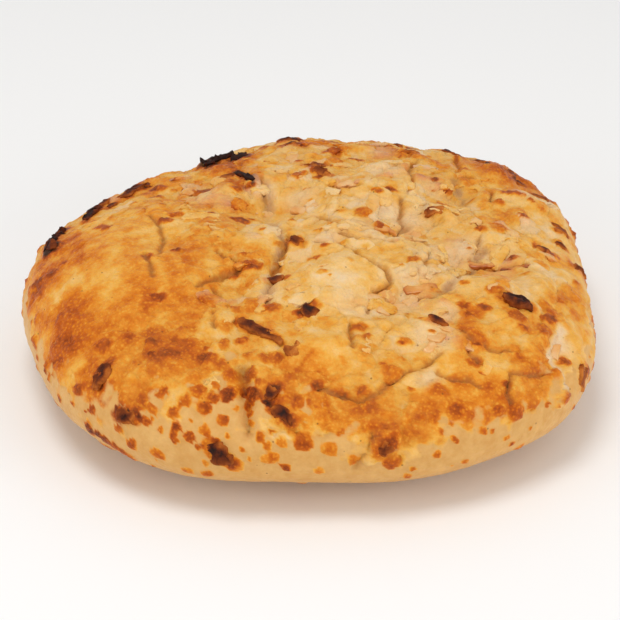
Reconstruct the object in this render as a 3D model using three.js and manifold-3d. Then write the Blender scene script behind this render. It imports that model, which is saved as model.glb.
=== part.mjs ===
// A round cheese and onion focaccia: one plump loaf with a flat base, finger dimples and
// craggy melted cheese on its top, and shreds of onion baked onto the crust.
// Millimetres, +Z up. The origin lies on the surface under the middle of the loaf.
import * as THREE from "three";
import { ImprovedNoise } from "three/addons/math/ImprovedNoise.js";
import { mergeVertices } from "three/addons/utils/BufferGeometryUtils.js";
import Module from "manifold-3d";

// The loaf's section, turned about the Z axis.
const RADIUS = 95;
const HEIGHT = 50;
const WAIST = 21; // height of the widest ring
const SHOULDER_SQUARENESS = 2.5; // power of the superellipse above the waist
const FOOT_SQUARENESS = 2.4; // and below it
const FOOT_DEPTH = 1.15 * WAIST; // the lower curve is cut off flat at the base

// The hand-shaped outline: each wave swells the plan by a share of the radius, most of all
// towards its bearing. Bearings are in degrees, from +X towards +Y.
const OUTLINE_WAVES = [
  { lobes: 2, share: 0.03, bearing: 51 },
  { lobes: 3, share: 0.03, bearing: 65 },
  { lobes: 4, share: 0.025, bearing: 51 },
  { lobes: 5, share: 0.015, bearing: 31 },
  { lobes: 6, share: 0.007, bearing: 48 },
];

// Finger dimples pressed into the top, and the domes that rise between them.
const DIMPLES = [
  { x: -15, y: 17, radius: 12, depth: 6.5 },
  { x: -11, y: -20, radius: 9, depth: 5 },
  { x: -26, y: -33, radius: 9, depth: 4.5 },
  { x: -50, y: -6, radius: 8, depth: 2.5 },
  { x: 24, y: -40, radius: 8, depth: 5 },
  { x: 31, y: 5, radius: 11, depth: 5 },
  { x: 49, y: -14, radius: 11, depth: 4.5 },
  { x: 46, y: 28, radius: 10, depth: 4.5 },
  { x: -44, y: 36, radius: 9, depth: 3.5 },
  { x: 12, y: 50, radius: 9, depth: 2.5 },
  { x: -42, y: 68, radius: 12, depth: 2.5 },
  { x: 44, y: 70, radius: 10, depth: 2.5 },
  { x: 10, y: -80, radius: 7, depth: 3 },
  { x: -19, y: -86, radius: 6, depth: 3 },
  { x: 76, y: -52, radius: 6, depth: 4 },
];
const DOMES = [
  { x: -62, y: -16, radius: 28, depth: -3.5 },
  { x: 6, y: -31, radius: 14, depth: -3 },
  { x: 16, y: 36, radius: 22, depth: -2.5 },
  { x: 58, y: -40, radius: 16, depth: -2.5 },
  { x: 4, y: -66, radius: 11, depth: -2 },
  { x: -8, y: 84, radius: 13, depth: -2.5 },
];

// Crags of melted cheese, billows with sharp valleys, lowest on the smooth dome at -X.
const CRAG_SIZE = 12;
const CRAG_HEIGHT = 5;
const CRAG_MEAN = 0.24; // of a billow, so that the crags leave the loaf's height as it is
const SMOOTH_DOME = { x: -66, y: -18, radius: 40 };
const CRAGS_FADE_FROM = 41; // height where the cheese thins out over the shoulder
const CRAGS_FADE_TO = 24;
const WALL_WAVE_SIZE = 34; // slow unevenness of the hand-shaped wall
const WALL_WAVE_HEIGHT = 1.2;

// Onion shreds: short curled strips, half sunk in the crust. Each place is a bearing and a rise
// in degrees, seen from the heart of the loaf at the waist. The turn is about the surface normal.
// The large ones are charred; the small ones lie on the crags and leave the smooth dome free.
const HEART = new THREE.Vector3(0, 0, WAIST);
const SHRED_THICKNESS = 1.6;
const SHRED_CURL = 0.9; // how far the ends stand up from the middle
const SHRED_STEPS = 4;
const SHRED_SINK = 0.15;
const SHRED_TAPER = 0.45; // share of the width lost at each end
const SHRED_THINNING = 0.3; // and of the thickness
const LARGE_SHREDS = [
  { bearing: 117, rise: 14, length: 13, width: 5, turn: 0 },
  { bearing: 122, rise: 30, length: 13, width: 2, turn: 88 },
  { bearing: 171, rise: 11, length: 18, width: 4, turn: 5 },
  { bearing: 161, rise: 14, length: 10, width: 4, turn: 0 },
  { bearing: 147, rise: 15, length: 13, width: 4, turn: 0 },
  { bearing: 97, rise: 15, length: 9, width: 3.5, turn: 0 },
  { bearing: 253, rise: 23, length: 18, width: 3.5, turn: -26 },
  { bearing: 263, rise: 20, length: 5, width: 4, turn: 10 },
  { bearing: 252, rise: 2, length: 8, width: 5, turn: -40 },
  { bearing: 225, rise: 9, length: 9, width: 4, turn: -80 },
  { bearing: 234, rise: 5, length: 7, width: 4.5, turn: 0 },
  { bearing: 260, rise: 12, length: 4.5, width: 3.5, turn: 70 },
  { bearing: 263, rise: 9, length: 8, width: 3.5, turn: -36 },
  { bearing: 266, rise: 29, length: 5, width: 4, turn: 60 },
  { bearing: 327, rise: 19, length: 9, width: 5, turn: -55 },
  { bearing: 1, rise: 8, length: 6, width: 4, turn: 80 },
  { bearing: 328, rise: 3, length: 8, width: 5, turn: 40 },
  { bearing: 20, rise: 34, length: 7, width: 3.5, turn: 75 },
  { bearing: 90, rise: 33, length: 6, width: 4.5, turn: 60 },
  { bearing: 57, rise: 12, length: 7, width: 3.5, turn: 0 },
  { bearing: 229, rise: 68, length: 4.5, width: 3.5, turn: 30 },
  { bearing: 246, rise: 40, length: 5, width: 3, turn: 40 },
  { bearing: 305, rise: 22, length: 5, width: 3.5, turn: -20 },
  { bearing: 282, rise: 3, length: 4.5, width: 4, turn: 15 },
  { bearing: 14, rise: 11, length: 6, width: 3, turn: 80 },
  { bearing: 154, rise: 13, length: 6, width: 3, turn: 0 },
  { bearing: 62, rise: 21, length: 7, width: 3.5, turn: 20 },
];
const SMALL_SHREDS = { count: 26, reach: 80, length: 6.5, width: 3.7 };
const SHRED_SPREAD = 0.25; // how much longer or shorter than that a shred may be
const GOLDEN_ANGLE = 137.508;
const JITTER = 9; // degrees that a shred strays from its even place

// The loaf's triangles, as splits along each edge of an icosahedron, and how far they are
// drawn up from the base, which is flat, to the top, where the relief is.
const LOAF_DETAIL = 18;
const DRAWN_UP = 0.25;
const SECTION_STEPS = 600;
const WELD = 1e-4; // corners closer than this are one corner

const wasm = await Module();
wasm.setup();

const noise = new ImprovedNoise();

// A repeatable stray value from -1 to 1 for the shred of that number.
const stray = (number, salt) => Math.sin(12.9898 * number + 78.233 * salt);

// Half of the loaf's section: from the crown at t = 0, over the shoulder, to the middle of the base.
class LoafSection extends THREE.Curve {
  getPoint(t, target = new THREE.Vector2()) {
    const turn = t * Math.PI;
    const above = turn < Math.PI / 2;
    const power = 2 / (above ? SHOULDER_SQUARENESS : FOOT_SQUARENESS);
    const out = Math.abs(Math.sin(turn)) ** power;
    const away = Math.abs(Math.cos(turn)) ** power;
    const z = above ? WAIST + (HEIGHT - WAIST) * away : WAIST - FOOT_DEPTH * away;
    return target.set(RADIUS * out, Math.max(0, z));
  }
}

// How far the outline swells or shrinks at a bearing, in radians, as a share of the radius.
function outlineShare(bearing) {
  let share = 1;
  for (const wave of OUTLINE_WAVES) {
    const from = bearing - THREE.MathUtils.degToRad(wave.bearing);
    share += wave.share * Math.cos(wave.lobes * from);
  }
  return share;
}

// A soft round spot: 1 at its middle, fading out past its radius.
function spot(x, y, { x: middleX, y: middleY, radius }) {
  return Math.exp(-((x - middleX) ** 2 + (y - middleY) ** 2) / radius ** 2);
}

// How far the crust stands above the plain section, at a point of that section.
function crustRelief(point) {
  const { x, y, z } = point;
  const topped = THREE.MathUtils.smoothstep(z, CRAGS_FADE_TO, CRAGS_FADE_FROM);
  let pressed = 0;
  for (const dent of [...DIMPLES, ...DOMES]) pressed += dent.depth * spot(x, y, dent);
  const billow = Math.abs(noise.noise(x / CRAG_SIZE, y / CRAG_SIZE, z / CRAG_SIZE));
  const craggy = 1 - spot(x, y, SMOOTH_DOME);
  const wave = noise.noise(x / WALL_WAVE_SIZE, y / WALL_WAVE_SIZE, z / WALL_WAVE_SIZE);
  const onTop = craggy * CRAG_HEIGHT * (billow - CRAG_MEAN) - pressed;
  return topped * onTop + (1 - topped) * WALL_WAVE_HEIGHT * wave;
}

// The loaf: a ball of even triangles drawn onto the section, swollen to the outline, then
// raised or pressed along its own normals. The base stays flat.
function makeLoaf() {
  const ball = new THREE.IcosahedronGeometry(1, LOAF_DETAIL);
  ball.deleteAttribute("normal");
  ball.deleteAttribute("uv");
  const loaf = mergeVertices(ball, WELD);
  const places = loaf.getAttribute("position");
  const section = new LoafSection();
  section.arcLengthDivisions = SECTION_STEPS;
  const point = new THREE.Vector3();
  for (let i = 0; i < places.count; i++) {
    point.fromBufferAttribute(places, i);
    const bearing = Math.atan2(point.y, point.x);
    const turn = Math.acos(THREE.MathUtils.clamp(point.z, -1, 1)) / Math.PI;
    const cut = section.getPointAt(turn * (1 - DRAWN_UP) + turn ** 3 * DRAWN_UP);
    const out = cut.x * outlineShare(bearing);
    places.setXYZ(i, out * Math.cos(bearing), out * Math.sin(bearing), cut.y);
  }
  loaf.computeVertexNormals();
  const normals = loaf.getAttribute("normal");
  const normal = new THREE.Vector3();
  for (let i = 0; i < places.count; i++) {
    point.fromBufferAttribute(places, i);
    if (point.z === 0) continue;
    normal.fromBufferAttribute(normals, i);
    point.addScaledVector(normal, crustRelief(point));
    places.setXYZ(i, point.x, point.y, Math.max(0, point.z));
  }
  loaf.deleteAttribute("normal");
  return loaf;
}

// One onion shred, lying along X: a flat strip that narrows to its ends and curls up there.
function makeShred(length, width) {
  const strip = new THREE.BoxGeometry(length, width, SHRED_THICKNESS, SHRED_STEPS, 1, 1);
  strip.deleteAttribute("normal");
  strip.deleteAttribute("uv");
  const shred = mergeVertices(strip, WELD);
  const places = shred.getAttribute("position");
  for (let i = 0; i < places.count; i++) {
    const towardsEnd = Math.abs(places.getX(i)) / (length / 2);
    places.setY(i, places.getY(i) * (1 - SHRED_TAPER * towardsEnd ** 2));
    places.setZ(i, places.getZ(i) * (1 - SHRED_THINNING * towardsEnd) + SHRED_CURL * towardsEnd ** 2);
  }
  return shred;
}

// The shreds' places: the large ones, then small ones spread over the top on a golden angle,
// each a little out of true, except on the smooth dome.
function shredPlaces() {
  const places = [...LARGE_SHREDS];
  for (let i = 0; i < SMALL_SHREDS.count; i++) {
    const out = SMALL_SHREDS.reach * Math.sqrt((i + 0.5) / SMALL_SHREDS.count);
    const bearing = i * GOLDEN_ANGLE + JITTER * stray(i, 1);
    const inRadians = THREE.MathUtils.degToRad(bearing);
    if (spot(out * Math.cos(inRadians), out * Math.sin(inRadians), SMOOTH_DOME) > 0.5) continue;
    places.push({
      bearing: bearing,
      rise: THREE.MathUtils.radToDeg(Math.atan2(HEIGHT - WAIST, out)),
      length: SMALL_SHREDS.length * (1 + SHRED_SPREAD * stray(i, 2)),
      width: SMALL_SHREDS.width * (1 + SHRED_SPREAD * stray(i, 3)),
      turn: 90 * stray(i, 4),
    });
  }
  return places;
}

// Where a line from the loaf's heart leaves the crust, as a matrix that lays a shred there.
function layOn(loafMesh, { bearing, rise, turn }) {
  const direction = new THREE.Vector3().setFromSphericalCoords(
    1,
    THREE.MathUtils.degToRad(90 - rise),
    THREE.MathUtils.degToRad(bearing + 90),
  );
  direction.set(direction.x, -direction.z, direction.y); // from Y up to Z up
  const far = HEART.clone().addScaledVector(direction, 2 * RADIUS);
  const ray = new THREE.Raycaster(far, direction.clone().negate());
  const [hit] = ray.intersectObject(loafMesh);
  const along = new THREE.Vector3(-direction.y, direction.x, 0).normalize();
  const across = new THREE.Vector3().crossVectors(hit.face.normal, along).normalize();
  along.crossVectors(across, hit.face.normal);
  const place = new THREE.Matrix4().makeBasis(along, across, hit.face.normal);
  place.setPosition(hit.point.addScaledVector(hit.face.normal, -SHRED_SINK));
  return place.multiply(new THREE.Matrix4().makeRotationZ(THREE.MathUtils.degToRad(turn)));
}

function toSolid(geometry) {
  return new wasm.Manifold(
    new wasm.Mesh({
      numProp: 3,
      vertProperties: new Float32Array(geometry.getAttribute("position").array),
      triVerts: new Uint32Array(geometry.index.array),
    }),
  );
}

function toGeometry(solid) {
  const { vertProperties, triVerts } = solid.getMesh();
  const geometry = new THREE.BufferGeometry();
  geometry.setAttribute("position", new THREE.BufferAttribute(vertProperties, 3));
  geometry.setIndex(new THREE.BufferAttribute(triVerts, 1));
  geometry.computeVertexNormals();
  return geometry;
}

// The loaf with its onion baked on, as one solid, moved so that the origin lies under its middle.
function makeFocaccia() {
  const loaf = makeLoaf();
  const loafMesh = new THREE.Mesh(loaf);
  let baked = toSolid(loaf);
  for (const place of shredPlaces()) {
    const shred = makeShred(place.length, place.width);
    shred.applyMatrix4(layOn(loafMesh, place));
    baked = baked.add(toSolid(shred));
  }
  const geometry = toGeometry(baked);
  geometry.computeBoundingBox();
  const middle = geometry.boundingBox.getCenter(new THREE.Vector3());
  return geometry.translate(-middle.x, -middle.y, 0);
}

const crust = new THREE.MeshStandardMaterial({ color: 0xd8954a, roughness: 0.6, metalness: 0 });
const focaccia = new THREE.Mesh(makeFocaccia(), crust);
focaccia.name = "focaccia";

const part = new THREE.Group();
part.add(focaccia);

export default part;
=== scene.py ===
"""A round cheese and onion focaccia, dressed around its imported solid.

The loaf is a ball of quads laid on the solid, then raised into lumps of melted cheese, plates,
creases, toasted marks and blisters. Onion lies where the solid has it.
Shapes are worked out in the loaf's own millimetres and moved into the frame, in metres, at the end.
"""

import math
import random

import bmesh
import bpy
import numpy as np
from mathutils import Matrix, Vector, noise
from mathutils.bvhtree import BVHTree
from mathutils.kdtree import KDTree


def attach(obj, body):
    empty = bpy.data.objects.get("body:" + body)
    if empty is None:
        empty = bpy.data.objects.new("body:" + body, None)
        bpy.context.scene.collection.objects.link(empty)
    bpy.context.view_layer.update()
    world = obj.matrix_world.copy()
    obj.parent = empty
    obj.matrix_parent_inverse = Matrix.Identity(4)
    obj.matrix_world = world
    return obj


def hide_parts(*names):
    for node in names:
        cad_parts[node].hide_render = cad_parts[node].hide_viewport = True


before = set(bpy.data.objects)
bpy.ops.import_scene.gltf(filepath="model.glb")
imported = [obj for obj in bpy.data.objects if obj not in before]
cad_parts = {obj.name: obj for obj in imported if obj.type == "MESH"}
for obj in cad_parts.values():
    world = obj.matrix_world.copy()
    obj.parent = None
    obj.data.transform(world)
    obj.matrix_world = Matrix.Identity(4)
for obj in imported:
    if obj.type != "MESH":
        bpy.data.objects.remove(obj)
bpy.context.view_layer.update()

MM = 0.001
LOAF_NODE = "focaccia"

# The loaf's own axis: the solid is centred on its box, its shapes on this axis.
AXIS = Vector((4.1, -1.1, 0.0))
FROM_LOAF = Matrix.Scale(MM, 4) @ Matrix.Translation(AXIS)
# Rays that look for the surface start this far off.
FAR = 300.0

# The photograph's view of the loaf: a long lens, looking down along +Y.
PHOTO_SIDE = 620
CAMERA_ELEVATION = math.radians(31)
CAMERA_DISTANCE = 750.0
CAMERA_LENS = 133.0
SENSOR_WIDTH = 36.0
CAMERA_AIM = Vector((1.4, -1.1, 18.8))
CAMERA_BACK = Vector((0, -math.cos(CAMERA_ELEVATION), math.sin(CAMERA_ELEVATION)))
CAMERA_UP = Vector((0, math.sin(CAMERA_ELEVATION), math.cos(CAMERA_ELEVATION)))
EYE = CAMERA_AIM + CAMERA_BACK * CAMERA_DISTANCE - AXIS

# The loaf's section, as the solid has it, for spreading the mesh evenly.
RADIUS = 95.0
CROWN = 50.0
WAIST = 21.0
HEART = Vector((0, 0, WAIST))
SQUARENESS = 2.45
# The mesh: cuts across each side of the ball, how far it is drawn up towards the crown, and the
# height below which it stays flat.
BALL_CUTS = 127
DRAWN_UP = 0.42
FLAT_BASE = 0.4
# The solid's skin: size of its remeshed cells and rounds of smoothing.
SKIN_VOXEL = 1.5
SKIN_SMOOTHING = 12

# Soft lights: name, place and size in metres, and power in watts.
SOFTBOXES = [
    ("key_softbox", (-0.15, -0.2, 0.95), 0.42, 3.1),
    ("left_softbox", (-0.85, -0.55, 0.25), 0.8, 2.4),
    ("right_softbox", (0.85, -0.55, 0.25), 0.8, 3.6),
]
WORLD_LIGHT = 0.62
FLOOR_REACH = 6.0

# Without a seed, the noise that wanders differs from run to run.
NOISE_SEED = 3

# How outlines stray and lumps and plates bend: size and reach of each order of wandering.
WANDER = [(5.0, 1.0), (1.7, 0.5)]
LUMP_BEND = [(9.0, 2.5), (2.6, 0.6)]
PLATE_BEND = [(8.0, 2.2), (2.6, 0.5)]

# Lumps of melted cheese: size and height of each order.
LUMPS = [(20.0, 1.7), (8.0, 0.5), (3.4, 0.25)]

# Plates of melted cheese: size, lean, how much their toast differs and how moist some are.
PLATES = [(13.0, 0.75, 0.18, 0.6), (6.5, 0.5, 0.17, 0.9), (3.8, 0.35, 0.12, 0.0)]
# The width of the creases between plates.
PLATE_CREASE = 0.7

# How far creases draw the crust together, as a share of the way, and from how far.
PINCH = 0.5
PINCH_REACH = 1.3

# How far from a crease the higher side of its step reaches.
STEP_REACH = 6.0

# How low the cheese runs down the wall: bearing in degrees and height.
CHEESE_EDGE = [
    (0, 26), (40, 30), (90, 29), (140, 30), (180, 28), (205, 27), (218, 27), (230, 28), (240, 33),
    (245, 37), (252, 38), (258, 35), (270, 32), (277, 28), (281, 22), (284, 23), (288, 26), (297, 29),
    (305, 28), (320, 27), (340, 25), (360, 26),
]

# Areas that melted smooth, without crags: place on the plan and radius.
SMOOTH_AREAS = [(-64, -18, 33), (7, -31, 13), (2, -66, 8)]
# The dome among them that bears no chips or small marks, the same way.
SMOOTH_DOME = (-66, -18, 40)

# Valleys on the top: width, depth, stain (browner above 0, partly real toasting and partly painted shade;
# pale below), how much higher the left side stands, and the places along each.
TOP_CREASES = [
    (2, 1.3, -0.2, 0, [(-18, 34), (-16, 22), (-15, 4), (-11, -8), (-13, -18), (-14, -30), (-17, -43)]),
    (1.6, 1.2, -0.15, 0, [(46, 42), (48, 28), (44, 15)]),
    (1.6, 1, -0.2, 0, [(53, -4), (48, -16), (41, -31), (36, -39)]),
]

# Features placed where the photograph shows them start with their pixel in its 620 x 620 frame.

# Places on the rim where the crust stands higher: pixel, radius and height.
SEEN_MOUNDS = [(166, 180, 6, 2.2), (464, 163, 9, 1.8), (550, 208, 6, 2.2)]

# Fine creases: width, depth, stain (browner above 0, partly real toasting and partly painted shade; pale
# below), step and the pixels along each.
SEEN_CREASES = [
    (0.9, 1, 0.1, -0.6, [(150, 214), (156, 222), (160, 228), (162, 235), (163, 243), (159, 253)]),
    (0.9, 1, 0.1, -0.5, [(143, 254), (149, 262), (153, 274)]),
    (0.9, 1.6, 0.12, -0.9, [(218, 250), (226, 257), (232, 258), (237, 262), (240, 269), (234, 273)]),
    (0.9, 1.2, 0.08, -0.6, [(234, 273), (226, 275), (216, 279), (207, 282), (199, 287)]),
    (1, 2.2, 0.08, 0.9, [(291, 236), (285, 247), (281, 258), (278, 265), (274, 275)]),
    (1, 1.7, 0.08, -0.9, [
        (318, 242), (340, 244), (352, 248), (360, 255), (372, 261), (384, 269), (391, 280),
    ]),
    (0.9, 1.4, 0.05, -0.7, [(391, 280), (386, 288), (374, 291), (371, 301), (367, 309)]),
    (0.8, 1.2, 0.08, 0.5, [(214, 290), (219, 297)]),
    (0.9, 1.6, 0.1, -0.6, [(350, 322), (352, 334), (352, 345)]),
    (0.9, 1.2, 0.03, 0.6, [(479, 220), (480, 240), (476, 252)]),
    (1, 1.3, 0, 0.5, [(402, 196), (401, 217), (404, 229), (398, 234)]),
    (0.9, 1.8, 0.16, 0.5, [(455, 162), (459, 175), (470, 178)]),
    (0.9, 1.4, 0.1, -0.5, [(489, 190), (493, 200)]),
    (1, 2, -0.05, 0.6, [(262, 178), (264, 190), (266, 209)]),
    (0.8, 1.4, 0.05, 0.5, [(179, 186), (183, 193), (195, 196)]),
    (0.8, 1.2, 0.08, 0.5, [(214, 312), (215, 326)]),
    (0.9, 1.6, 0.12, 0.6, [(417, 300), (436, 296), (452, 290)]),
    (0.9, 1.6, 0.08, 0.5, [(472, 262), (486, 268), (505, 268), (532, 266)]),
    (0.8, 1.2, 0.1, 0.6, [(318, 388), (331, 391), (345, 397), (358, 399), (372, 394), (386, 386)]),
    (0.8, 1.2, 0.08, 0.6, [(386, 386), (400, 379), (414, 369), (430, 359), (441, 353)]),
    (0.8, 1.8, 0.14, 0.9, [(511, 372), (510, 382), (508, 394), (512, 402)]),
    (0.8, 1, 0.08, 0.4, [(512, 372), (530, 376), (548, 374)]),
    (0.8, 1.2, 0.1, 0.4, [(462, 330), (472, 338), (470, 350), (478, 362)]),
    (0.8, 1.2, 0.1, -0.4, [(486, 344), (498, 352), (512, 350)]),
    (0.8, 1.2, 0.1, 0.4, [(440, 372), (452, 380), (466, 378), (480, 386)]),
    (2, 1, -0.55, 0, [(562, 331), (557, 345), (552, 357)]),
    (1.5, 1, -0.6, -0.9, [(552, 357), (559, 371), (566, 383), (571, 389)]),
    (0.9, 1.6, 0.08, 0.5, [(373, 435), (366, 457), (357, 468)]),
    (1.6, 2.8, 0.03, 1.8, [(244, 368), (246, 380), (247, 392), (250, 406), (250, 420), (247, 432)]),
    (0.9, 1.4, 0.05, -0.6, [(300, 222), (312, 216), (330, 218), (342, 226)]),
    (0.9, 1.4, 0.05, -0.6, [(340, 232), (352, 236), (372, 236), (396, 240)]),
    (0.9, 1.4, 0.05, 0.6, [(408, 236), (424, 244), (430, 254), (424, 264)]),
    (0.9, 1.4, 0.05, -0.6, [(414, 160), (408, 172), (414, 184)]),
    (0.9, 1.4, 0.05, -0.5, [(320, 180), (340, 186), (360, 184)]),
]

# Toast all over, and its clouds: size and strength.
BASE_TOAST = 0.25
TOAST_CLOUDS = [(10.0, 0.12), (4.2, 0.07)]
# The toast over which crust dries out, and over which its granules of that size stand up.
DRY_TOAST = (0.36, 0.52)
GRAINY_TOAST = (0.38, 0.55)
GRANULE = 1.9
# How far in from the rim of a mark, blister or scorch the cheese on it starts.
RIM_COVER = 0.35

# Broad patches that the oven toasted more, or left pale: pixel, radius and strength.
TOAST_PATCHES = [
    (115, 240, 26, 0.12), (95, 250, 9, 0.08), (130, 272, 8, 0.06), (62, 252, 10, 0.12),
    (150, 216, 9, -0.05), (100, 212, 7, 0.08), (202, 246, 10, 0.18), (185, 266, 9, 0.12),
    (242, 265, 5, 0.18), (225, 287, 10, 0.02), (140, 324, 17, 0.17), (200, 302, 10, 0.1),
    (228, 304, 10, 0.07), (150, 298, 8, 0.08), (268, 312, 7, 0.14), (50, 318, 18, 0.22),
    (75, 335, 12, 0.15), (40, 280, 8, 0.22), (62, 236, 8, 0.16), (190, 330, 12, 0.13),
    (130, 378, 14, 0.09), (105, 348, 10, 0.05), (95, 378, 8, 0.15), (112, 405, 8, 0.18),
    (170, 352, 9, 0.14), (200, 366, 11, 0.09), (245, 345, 12, 0.06), (230, 380, 9, 0.06),
    (270, 378, 10, 0.14), (296, 378, 8, 0.16), (312, 402, 9, 0.18), (346, 412, 9, 0.18),
    (384, 432, 8, 0.2), (396, 406, 8, 0.1), (370, 384, 6, 0.02), (350, 372, 12, 0.02),
    (425, 420, 8, 0.18), (270, 335, 9, 0.06), (310, 318, 10, 0.04), (300, 352, 8, 0.02),
    (495, 352, 28, 0.09), (516, 344, 9, -0.04), (460, 388, 10, 0.08), (482, 365, 8, -0.02),
    (488, 400, 9, 0.1), (516, 408, 8, 0.12), (540, 382, 10, 0.15), (548, 354, 10, 0.2),
    (546, 318, 7, 0.18), (416, 376, 10, -0.04), (500, 168, 15, 0.3), (470, 162, 8, 0.2),
    (545, 198, 10, 0.26), (572, 240, 9, 0.2), (200, 186, 20, 0.16), (150, 192, 13, 0.03),
    (262, 190, 6, -0.1), (345, 280, 12, -0.05), (330, 150, 16, 0.12), (428, 174, 12, 0.11),
    (212, 166, 8, 0.3), (240, 160, 8, 0.2), (60, 246, 6, 0.16), (92, 219, 6, 0.06),
    (127, 197, 6, 0.04), (300, 144, 7, 0.24), (340, 143, 7, 0.22), (380, 149, 7, 0.18),
    (416, 153, 7, 0.2), (36, 264, 8, 0.26), (32, 302, 8, 0.2), (150, 400, 9, 0.14),
    (60, 352, 8, 0.18), (180, 395, 8, 0.06), (500, 215, 9, 0.12), (455, 330, 8, 0.06),
    (235, 186, 9, 0.14), (215, 206, 10, 0.1), (272, 204, 8, 0.06), (252, 216, 8, 0.08),
    (480, 190, 12, 0.08), (180, 212, 9, 0.08), (120, 222, 9, 0.1), (225, 222, 7, 0.1),
    (438, 338, 9, -0.12), (556, 262, 9, 0.18), (556, 300, 9, 0.1), (282, 186, 8, 0.06),
    (110, 252, 10, 0.03), (122, 290, 9, -0.09), (345, 352, 10, 0.02), (394, 336, 9, 0.14),
    (430, 222, 9, -0.05), (62, 290, 8, -0.03), (150, 300, 10, 0.05), (225, 300, 9, 0.06),
    (572, 300, 8, 0.12), (578, 318, 6, 0.08), (310, 235, 15, 0.05), (345, 303, 12, 0.06),
    (152, 264, 13, 0.06), (75, 384, 9, 0.1), (232, 296, 9, 0.05),
]

# Places where bare onion keeps the crust moist and pale: pixel, radius and strength.
MOIST_PLACES = [
    (258, 186, 5, 1), (300, 198, 6, 0.7), (386, 208, 5, 0.8), (408, 224, 7, 0.8), (464, 246, 7, 1),
    (424, 272, 5, 0.8), (328, 238, 5, 0.8), (380, 152, 5, 0.7), (410, 304, 7, 0.8), (446, 312, 4, 0.9),
    (378, 170, 5, 0.6), (523, 193, 4, 0.9), (352, 300, 6, 0.5), (340, 178, 5, 0.5), (190, 188, 5, 0.8),
    (430, 378, 4, 0.8), (290, 160, 4, 0.7), (500, 274, 5, 0.5), (560, 345, 4, 0.9), (438, 338, 6, 0.8),
    (450, 256, 7, 0.9), (500, 258, 6, 0.7), (392, 170, 6, 0.7), (205, 196, 7, 0.6), (226, 200, 6, 0.5),
    (430, 186, 6, 0.6), (362, 224, 6, 0.6),
]

# Toasted marks on the cheese: pixel, radius and strength.
TOASTED_MARKS = [
    (167, 221, 2.6, 0.28), (215, 213, 2, 0.28), (240, 220, 3, 0.3), (107, 228, 2.2, 0.22),
    (158, 189, 2.6, 0.28), (156, 197, 2.2, 0.2), (175, 249, 1.4, 0.26), (147, 256, 1.8, 0.3),
    (251, 266, 3, 0.28), (202, 192, 3.4, 0.36), (236, 188, 2.2, 0.36), (250, 185, 2.2, 0.28),
    (262, 149, 2.4, 0.3), (299, 146, 2, 0.34), (332, 151, 3.4, 0.25), (356, 158, 3.2, 0.3),
    (338, 142, 3, 0.28), (299, 175, 2.8, 0.2), (306, 189, 1.6, 0.24), (377, 191, 2.4, 0.34),
    (391, 190, 2.2, 0.3), (341, 208, 2.6, 0.1), (364, 212, 3.2, 0.15), (383, 226, 3, 0.2),
    (318, 230, 1.6, 0.2), (312, 258, 2.4, 0.22), (280, 245, 2.2, 0.18), (414, 258, 2.4, 0.27),
    (388, 147, 2, 0.34), (412, 149, 2.2, 0.34), (435, 180, 1.6, 0.5), (446, 191, 1.6, 0.45),
    (442, 207, 3.2, 0.38), (512, 192, 3, 0.27), (523, 217, 2, 0.34), (530, 201, 1.2, 0.3),
    (480, 229, 2.2, 0.22), (496, 229, 3.4, 0.14), (512, 258, 2, 0.2), (541, 200, 2.4, 0.34),
    (552, 255, 2.6, 0.18), (464, 281, 1.8, 0.22), (464, 304, 2.4, 0.24), (486, 307, 2.2, 0.38),
    (494, 290, 2.4, 0.22), (432, 332, 1.2, 0.3), (405, 342, 2.2, 0.24), (549, 318, 3, 0.24),
    (517, 317, 3, 0.18), (567, 361, 2.4, 0.42), (588, 372, 3, 0.36), (359, 327, 2.4, 0.18),
    (317, 386, 2.4, 0.2), (339, 394, 2.4, 0.16), (271, 357, 3.4, 0.26), (272, 307, 3, 0.18),
    (159, 296, 2.8, 0.32), (103, 344, 3.2, 0.18), (169, 353, 3, 0.34), (208, 357, 2.6, 0.26),
    (475, 362, 2.4, 0.26), (507, 384, 1.6, 0.32), (38, 282, 2.6, 0.48), (52, 273, 2.4, 0.4),
    (329, 276, 0.8, 0.4), (64, 262, 1.6, 0.2), (100, 227, 2.4, 0.22), (176, 214, 2.6, 0.24),
    (469, 311, 3.4, 0.02), (474, 328, 4, 0.02), (484, 342, 3.6, 0), (470, 364, 4.6, -0.05),
    (461, 380, 4, 0.02), (493, 388, 4.4, -0.05), (502, 404, 4, 0.02), (516, 411, 3.4, 0.06),
    (523, 356, 3, 0), (458, 411, 3, 0.08), (377, 402, 3.6, -0.06), (365, 413, 4, -0.04),
    (390, 436, 5, 0.04), (546, 330, 3, 0.06), (440, 390, 3, 0.04),
]

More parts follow.
